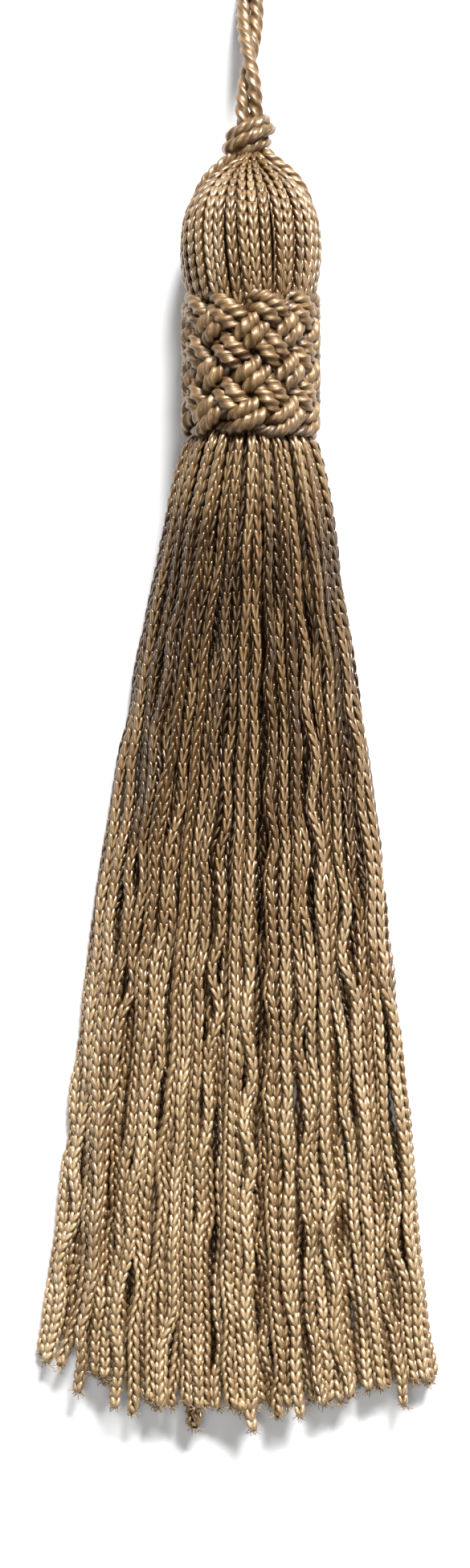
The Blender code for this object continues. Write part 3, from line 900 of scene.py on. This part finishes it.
head_y, head_r = profile_line(STRAND_R * HEAD_DEEP)
head_knitted = knitted_length(HEAD_STITCHES)
head_points = points_of(head_knitted)
draw_tight(head_points, HEAD_TIGHT)
head_tones = HEAD_TONE + TONE_SPREAD * scattered(22, HEAD_STRANDS)
head_sway = HEAD_WANDER * scattered(21, HEAD_STRANDS)
head_spins = HEAD_SPIN * scattered(24, HEAD_STRANDS)
head_pulls = 2 * UNEVEN_PULL * scattered(25, HEAD_STRANDS)
head_places = []
climb = np.linspace(0, 1, len(head_y))
starts = np.round(HEAD_STARTS * (1 + scattered(31, HEAD_STRANDS))).astype(int)
for i in range(HEAD_STRANDS):
    place = 2 * math.pi * (i + 0.5) / HEAD_STRANDS
    wander = head_sway[i] * np.sin(math.pi * climb * WANDER_TURNS)
    lean = HEAD_LEAN * np.sin(math.pi * climb + LEAN_SWING * np.sin(place + LEAN_START))
    turn = place + (wander + lean) / np.maximum(head_r, LEAN_LEAST_R)
    slip = SLIP * np.interp(head_r, (SLIP_TO, SLIP_FROM), (1.0, 0.0)) if i % 2 else 0.0
    radius = np.maximum(head_r - slip, 0.1)
    path = np.stack([radius * np.sin(turn), head_y, AXIS_Z - radius * np.cos(turn)], axis=1)
    around = -np.stack([np.cos(turn), np.zeros_like(turn), np.sin(turn)], axis=1)
    room = 2 * math.pi * np.maximum(head_r, ROOM_LEAST_R) / HEAD_STRANDS
    wide = np.clip(HEAD_FILL * room / (2 * STRAND_R), HEAD_THINNEST, HEAD_FULLEST)
    spin = head_spins[i] * (SPIN_BELOW - climb)
    path, around, wide, spin = (part[starts[i] :] for part in (path, around, wide, spin))
    head_places.append(bend(head_points, path, around, spin, wide, HEAD_DEEP, head_pulls[i]))
finish_piece(
    "head_strands",
    repeated(head_knitted, HEAD_STRANDS),
    np.concatenate(head_places),
    head_tones,
    knitted_rayon,
    *HEAD_AND_SKIRT,
)

# %% [markdown]
# Under the head's strands, and through the collar, runs the rest of the bundle. Only dark
# chinks of it ever show, so it is one turned shape with soft ridges, inside the strands. Its
# colour is painted shade: a dark, dull yarn with no gloss.

# %% The bundle inside
CORE_PROFILE = (
    # y, radius
    (0.6, 0.0),
    (0.6, 5.4),
    (8.0, 5.3),
    (15.0, 5.5),
    (19.0, 5.8),
    (23.0, 6.1),
    (26.5, 5.2),
    (29.0, 3.2),
    (31.0, 1.2),
    (33.5, 0.4),
    (33.8, 0.0),
)
CORE_STEPS = 84
CORE_RIDGE = 0.15


def turned_bundle():
    bm = bmesh.new()
    bm.loops.layers.uv.new("yarn")
    points = [bm.verts.new((r, y, 0.0)) for y, r in CORE_PROFILE]
    profile = [bm.edges.new(pair) for pair in zip(points, points[1:])]
    bmesh.ops.spin(
        bm,
        geom=points + profile,
        cent=(0, 0, 0),
        axis=(0, 1, 0),
        angle=2 * math.pi,
        steps=CORE_STEPS,
        use_merge=True,
    )
    bmesh.ops.remove_doubles(bm, verts=bm.verts, dist=1e-5)
    for point in bm.verts:
        ridge = 1 - CORE_RIDGE / 6 * math.sin(HEAD_STRANDS * math.atan2(point.co.z, point.co.x))
        point.co = (point.co.x * ridge, point.co.y, point.co.z * ridge)
    bmesh.ops.recalc_face_normals(bm, faces=bm.faces)
    return mesh_from(bm, "bundle")


bundle = turned_bundle()
bundle_places = points_of(bundle) + [0.0, 0.0, AXIS_Z]
finish_piece("inner_bundle", bundle, bundle_places, [0.0], painted_shade_rayon, *HEAD_AND_SKIRT)

# %% [markdown]
# Three plies laid together make a cord of three round lobes. Its straight length starts as
# a ring of points on those lobes, which is extruded step by step and turned a little each
# time, the way a rope walk does it.

# %% A straight twisted cord
CORD_R = 0.86
CORD_TONE = -0.29  # twisted yarn takes the dye a little deeper than knitted yarn
PLIES = 3
PLY_POINTS = 5
PLY_SPREAD = 80.0  # the outermost points of a lobe, in degrees from its top
STEPS_PER_TURN = 12


def lobe_places():
    """The cord's section: three half round lobes, as x and z for each point."""
    places = []
    for ply in range(PLIES):
        middle = 2 * math.pi * ply / PLIES
        for k in range(PLY_POINTS):
            turn = middle + math.radians(PLY_SPREAD) * (2 * k / (PLY_POINTS - 1) - 1)
            x = CORD_R / 2 * (math.cos(middle) + math.cos(turn))
            z = CORD_R / 2 * (math.sin(middle) + math.sin(turn))
            places.append((x, z))
    return places


def twisted_length(length, turn_length):
    """A straight three-ply cord, twisted once in every turn_length."""
    bm = bmesh.new()
    uv = bm.loops.layers.uv.new("yarn")
    places = lobe_places()
    ring = bmesh.ops.create_circle(bm, cap_ends=False, segments=len(places), radius=CORD_R)["verts"]
    for point, (x, z) in zip(ring, places):
        point.co = (x, 0.0, z)
    steps = round(length / turn_length * STEPS_PER_TURN)
    turn = Matrix.Rotation(-2 * math.pi / STEPS_PER_TURN, 3, "Y")
    drawn_out(bm, ring, steps, length / steps, turn)
    map_yarn(bm, uv, length / steps)
    return mesh_from(bm, "twisted length")


def map_yarn(bm, uv, step):
    """The yarn map of a twisted length: round the cord in u, in turns along it in v."""
    count = PLIES * PLY_POINTS
    for face in bm.faces:
        if len(face.verts) != 4:
            continue
        rounds = []
        for corner in face.loops:
            x, y, z = corner.vert.co
            back = 2 * math.pi * round(y / step) / STEPS_PER_TURN
            rounds.append(((math.atan2(z, x) - back) / (2 * math.pi)) % 1.0)
        wraps = max(rounds) - min(rounds) > 0.5
        for corner, around in zip(face.loops, rounds):
            around = around + 1.0 if wraps and around < 0.5 else around
            corner[uv].uv = (around, corner.vert.co.y / step / STEPS_PER_TURN)


# %% [markdown]
# The hanging cord goes up from the knot as two legs twisted once round each other, opens
# into a loop that lies on the surface, and comes back. Its route follows the solids', and
# its two ends go on into the knot.

# %% The hanging cord
PLY_TURN = 4.9
LOOP_STEP = 0.8
LEG_OFFSET = 0.79
TWIST_START_Y, TWIST_END_Y = 37.65, 61.0
TWIST_TURNS = 1.0
TWIST_POINTS = 16
DROP_END_Y = 58.0
LYING_Z = 1.56
LOOP_ROUTE = (
    # x, y, z: the right half of the open loop
    (1.1, 63.5, 1.18),
    (2.4, 66.3, 0.94),
    (4.0, 69.2, CORD_R),
    (5.3, 72.5, CORD_R),
    (5.6, 75.8, CORD_R),
    (4.3, 78.8, CORD_R),
    (1.6, 80.5, CORD_R),
)
KNOT_X, KNOT_Z = -0.2, 7.3
IN_KNOT_Y, LEG_IN_KNOT = 35.9, 0.55


def cord_route():
    """Up the right leg, round the loop and down the left leg."""
    right, left = [], []
    for k in range(TWIST_POINTS + 1):
        share = k / TWIST_POINTS
        y = TWIST_START_Y + share * (TWIST_END_Y - TWIST_START_Y)
        fall = min(1.0, (y - TWIST_START_Y) / (DROP_END_Y - TWIST_START_Y))
        z = KNOT_Z + (LYING_Z - KNOT_Z) * fall * fall * (3 - 2 * fall)
        x = KNOT_X * (1 - share)
        turn = 2 * math.pi * TWIST_TURNS * share
        off_x, off_z = LEG_OFFSET * math.cos(turn), LEG_OFFSET * math.sin(turn)
        right.append((x + off_x, y, z + off_z))
        left.append((x - off_x, y, z - off_z))
    back = [(-x, y, z) for x, y, z in reversed(LOOP_ROUTE)]
    first = (KNOT_X + LEG_IN_KNOT, IN_KNOT_Y, KNOT_Z)
    last = (KNOT_X - LEG_IN_KNOT, IN_KNOT_Y, KNOT_Z)
    return [first] + right + list(LOOP_ROUTE) + back + left[::-1] + [last]


def carried_side(path, start=(1.0, 0.0, 0.0)):
    """A side direction for each point that turns no more than the path does."""
    ahead = unit(np.gradient(path, axis=0))
    side = np.array(start, float)
    sides = []
    for forward in ahead:
        side = side - side.dot(forward) * forward
        side = side / np.linalg.norm(side)
        sides.append(side)
    return np.array(sides)


loop_path = smooth_line(cord_route(), LOOP_STEP)
loop_length = length_along(loop_path)[-1]
loop_mesh = twisted_length(loop_length, PLY_TURN)
loop_places = bend(points_of(loop_mesh), loop_path, carried_side(loop_path))
hanging_cord = finish_piece(
    "hanging_loop",
    loop_mesh,
    loop_places,
    [CORD_TONE],
    twisted_rayon,
    "hanging_cord",
    "twisted_rayon_cord",
)
print("hanging cord in mm:", round(loop_length, 1))

# %% [markdown]
# The knot is the same cord wound nearly three times round, each wrap rising to the right
# and the middle one the widest. The cord's two ends go down over the head's shoulders, grow
# thinner and sink in between its strands.

# %% The knot and its legs
KNOT_WRAPS = 2.75
WRAP_POINTS = 16  # for each wrap
WRAP_STEP = 1.25
WRAP_TILT = 0.36
KNOT_START_Y = 32.85
KNOT_WIDTHS = (
    # y, half width to the cord's middle
    (32.8, 1.3),
    (34.1, 2.4),
    (34.5, 2.45),
    (35.6, 1.97),
    (36.3, 1.5),
)
KNOT_DEEP = 0.85
KNOT_R = 0.78
LEG_R = 0.68
LEG_START = (0.7, 34.4)
LEFT_LEG_END_Y, RIGHT_LEG_END_Y = 27.6, 26.6
LEG_ON, LEG_SUNK = 0.35, -0.45
LEG_MEETS_Y = 32.4
LEG_TAPER, TAPER_FROM = 0.5, 0.7
KNOT_TURN = PLY_TURN * 0.85  # pulled tight, the cord twists in a shorter length
KNOT_STEP = 0.4


def wrap_route():
    route = []
    widths_y, widths = zip(*KNOT_WIDTHS)
    for k in range(round(KNOT_WRAPS * WRAP_POINTS) + 1):
        share = k / WRAP_POINTS
        turn = 2 * math.pi * share - math.pi / 2
        y = KNOT_START_Y + WRAP_STEP * share
        half = np.interp(y, widths_y, widths)
        x = KNOT_X + half * math.sin(turn)
        z = KNOT_Z + KNOT_DEEP * half * math.cos(turn)
        route.append((x, y + WRAP_TILT * (x - KNOT_X), z))
    return route


def shoulder_route(side, end_y):
    """From inside the knot down over the head, on its strands first and then among them."""
    y, r = profile_line(0.0)
    down_the_head = (y < LEG_MEETS_Y) & (y > end_y)
    ahead = unit(np.gradient(np.stack([r, y], axis=1), axis=0))[down_the_head]
    y, r = y[down_the_head], r[down_the_head]
    on = np.interp(y, (end_y, LEG_MEETS_Y), (LEG_SUNK, LEG_ON))
    x, y = r + ahead[:, 1] * on, y - ahead[:, 0] * on
    start = [(KNOT_X + side * LEG_START[0], LEG_START[1], KNOT_Z)]
    return start + [(side * a, b, AXIS_Z) for a, b in zip(x[::-1], y[::-1])]


knot_parts = []
for route, thickness, taper in (
    (wrap_route(), KNOT_R, 1.0),
    (shoulder_route(-1, LEFT_LEG_END_Y), LEG_R, LEG_TAPER),
    (shoulder_route(1, RIGHT_LEG_END_Y), LEG_R, LEG_TAPER),
):
    path = smooth_line(route, KNOT_STEP)
    mesh = twisted_length(length_along(path)[-1], KNOT_TURN)
    tapering = np.interp(np.linspace(0, 1, len(path)), (0, TAPER_FROM, 1), (1, 1, taper))
    scale = thickness / CORD_R * tapering
    laid = bend(points_of(mesh), path, carried_side(path), 0.0, scale, scale)
    mesh.vertices.foreach_set("co", laid.astype(np.float32).ravel())
    knot_parts.append(mesh)
bm = bmesh.new()
for mesh in knot_parts:
    bm.from_mesh(mesh)
knot_mesh = mesh_from(bm, "knot")
finish_piece(
    "knot_wraps",
    knot_mesh,
    points_of(knot_mesh),
    [CORD_TONE],
    twisted_rayon,
    "cord_knot",
    "twisted_rayon_cord",
)

# %% [markdown]
# The collar is a Turk's head knot: one endless lead that runs round the neck seven times
# while it goes up and down nine times, over and under at every crossing. The lead is a
# doubled cord, so two cords lie side by side. Seven rounds to nine bights make each
# crossing fall on a row of its own, and a cosine of the way up takes the lead over and
# under in turn. The cords are plump where they lie on top, are pressed flatter at the
# neck's sides, and twist tighter here and looser there. Deep in the chinks their colour is
# painted darker, as painted shade.

# %% The collar
COLLAR_LENGTH = 16.9
COLLAR_LEADS = 7
COLLAR_BIGHTS = 9
OVER_R = 8.15
COLLAR_CORD_R = 0.83
COLLAR_TONE, PAIR_TONE = -0.26, 0.02
WEAVE_DEPTH = 0.74
COLLAR_TURN = 3.4
TWIST_UNEVEN = (
    # radians, pace along the lead: the twist is tighter here and looser there
    (1.3, 0.021),
    (0.9, 0.052),
    (0.4, 0.097),
)
PLUMP = 0.16  # how much thicker the cords swell where they lie on top
PAIR_HALF = 0.74
PAIR_SPIN = 0.9
PAIR_PACE = 3  # pace of the unevenness, one less or more for each of the pair
COLLAR_POINTS = 24  # for each way up or down
BIGHT_ROUND = 0.14
RISE_ROUND, RISE_ROUND_PACE = 0.018, 5.3  # small unevenness in how high the lead runs,
RISE_WAY, RISE_WAY_PACE = 0.014, 2.2
OUT_WAY, OUT_WAY_PACE = 0.08, 3.7  # and in how far out
FLAT_SIDE = 7.9
SIDE_PRESS = 0.35
SIDES_FLATTER = 0.5
CHINK_FROM, CHINK_DEEP = 0.6, 1.2
CHINK_PAINTED_SHADE = -0.70


def plait_path():
    """The lead's middle line round and round the collar, with its sideways directions.

    The third result says at each point whether the lead lies on top (1) or under (-1).
    """
    way = np.linspace(0, 2 * math.pi * COLLAR_BIGHTS, 2 * COLLAR_BIGHTS * COLLAR_POINTS + 1)
    turn = way * COLLAR_LEADS / COLLAR_BIGHTS
    up = np.arcsin((1 - BIGHT_ROUND) * np.cos(way)) / math.asin(1 - BIGHT_ROUND)
    up = 0.5 - up / 2 + RISE_ROUND * np.sin(RISE_ROUND_PACE * turn)
    up = up + RISE_WAY * np.sin(RISE_WAY_PACE * way + 1)
    step = math.pi / COLLAR_LEADS
    swing = np.cos(COLLAR_LEADS * way) * np.sign(np.sin(way))
    near_low = (way + step) % (2 * math.pi)
    near_high = (way - math.pi + step) % (2 * math.pi)
    for near in (near_low, near_high):
        swing = np.where(near < 2 * step, np.cos(near * COLLAR_LEADS / 2), swing)
    edge = COLLAR_CORD_R + PAIR_HALF
    y = edge + (COLLAR_LENGTH - 2 * edge) * up
    depth = WEAVE_DEPTH * (1 - SIDES_FLATTER * np.sin(turn) ** 8)
    radius = OVER_R - COLLAR_CORD_R - depth * (1 - swing) + OUT_WAY * np.sin(OUT_WAY_PACE * way)
    path = np.stack([radius * np.sin(turn), y, AXIS_Z - radius * np.cos(turn)], axis=1)
    outward = np.stack([np.sin(turn), np.zeros_like(turn), -np.cos(turn)], axis=1)
    ahead = unit(np.gradient(path, axis=0))
    return path, unit(np.cross(ahead, outward)), swing


lead, lead_side, on_top = plait_path()
plait_places = []
lead_length = length_along(lead)[-1]
plait_mesh = twisted_length(lead_length, COLLAR_TURN)
plait_points = points_of(plait_mesh)
for pair_side in (-1, 1):
    path = lead + pair_side * PAIR_HALF * lead_side
    scale = COLLAR_CORD_R / CORD_R * (1 + PLUMP * on_top)
    along = np.arange(len(lead)) * (PAIR_PACE + pair_side)
    uneven = sum(swell * np.sin(pace * along) for swell, pace in TWIST_UNEVEN)
    spin = PAIR_SPIN * pair_side + uneven
    plait_places.append(bend(plait_points, path, lead_side, spin, scale, scale))
plait_places = np.concatenate(plait_places)
past = np.clip(np.abs(plait_places[:, 0]) - FLAT_SIDE, 0, None)
plait_places[:, 0] -= np.sign(plait_places[:, 0]) * past * (1 - SIDE_PRESS)
plait_places[:, 2] = np.maximum(plait_places[:, 2], 0.0)
from_axis = np.hypot(plait_places[:, 0], plait_places[:, 2] - AXIS_Z)
# Painted shade: the deeper a point lies in the weave, the darker it is painted.
chink_shade_share = np.clip((OVER_R - CHINK_FROM - from_axis) / CHINK_DEEP, 0, 1).reshape(2, -1)
finish_piece(
    "collar_lead",
    repeated(plait_mesh, 2),
    plait_places,
    [COLLAR_TONE - PAIR_TONE, COLLAR_TONE + PAIR_TONE],
    plaited_rayon,
    "collar_plait",
    "plaited_rayon_cord",
    CHINK_PAINTED_SHADE * chink_shade_share,
)
print("collar lead in mm:", round(lead_length))

# %% [markdown]
# A plain white floor and soft studio light. The main light stands beyond the loop's end, a
# little to the right and about as high as it is far, so that each stitch shines at its
# upper end and shadows fall below the ends and a little to the left. Weak light from above
# and from all round fills the rest.

# %% Floor and light
FLOOR_SIZE = 2.0
FLOOR_Z = -0.00002  # in metres, just below the strands that lie on it
PAPER = "#E6E6E6"
FILL_LIGHT = 0.08
bm = bmesh.new()
bmesh.ops.create_grid(bm, x_segments=1, y_segments=1, size=FLOOR_SIZE)
floor = link("floor", mesh_from(bm, "floor"))
floor.location.z = FLOOR_Z
white_paper, _ = plain("white_paper", {"Base Color": linear(PAPER), "Roughness": 0.9})
floor.data.materials.append(white_paper)


def area_light(name, place, size, watts):
    """A square light that points at the tassel."""
    data = bpy.data.lights.new(name, "AREA")
    data.size = size
    data.energy = watts
    made = bpy.data.objects.new(name, data)
    made.location = place
    made.rotation_euler = (-Vector(place)).to_track_quat("-Z", "Y").to_euler()
    bpy.context.scene.collection.objects.link(made)


area_light("main", (0.57, 1.80, 1.65), 0.9, 207.0)
area_light("overhead", (-0.05, -0.1, 1.1), 0.55, 5.5)
world = bpy.data.worlds.new("studio")
world.use_nodes = True
world.node_tree.nodes["Background"].inputs["Color"].default_value = (1.0, 1.0, 1.0, 1.0)
world.node_tree.nodes["Background"].inputs["Strength"].default_value = FILL_LIGHT
bpy.context.scene.world = world
bpy.context.scene.view_settings.view_transform = "Standard"
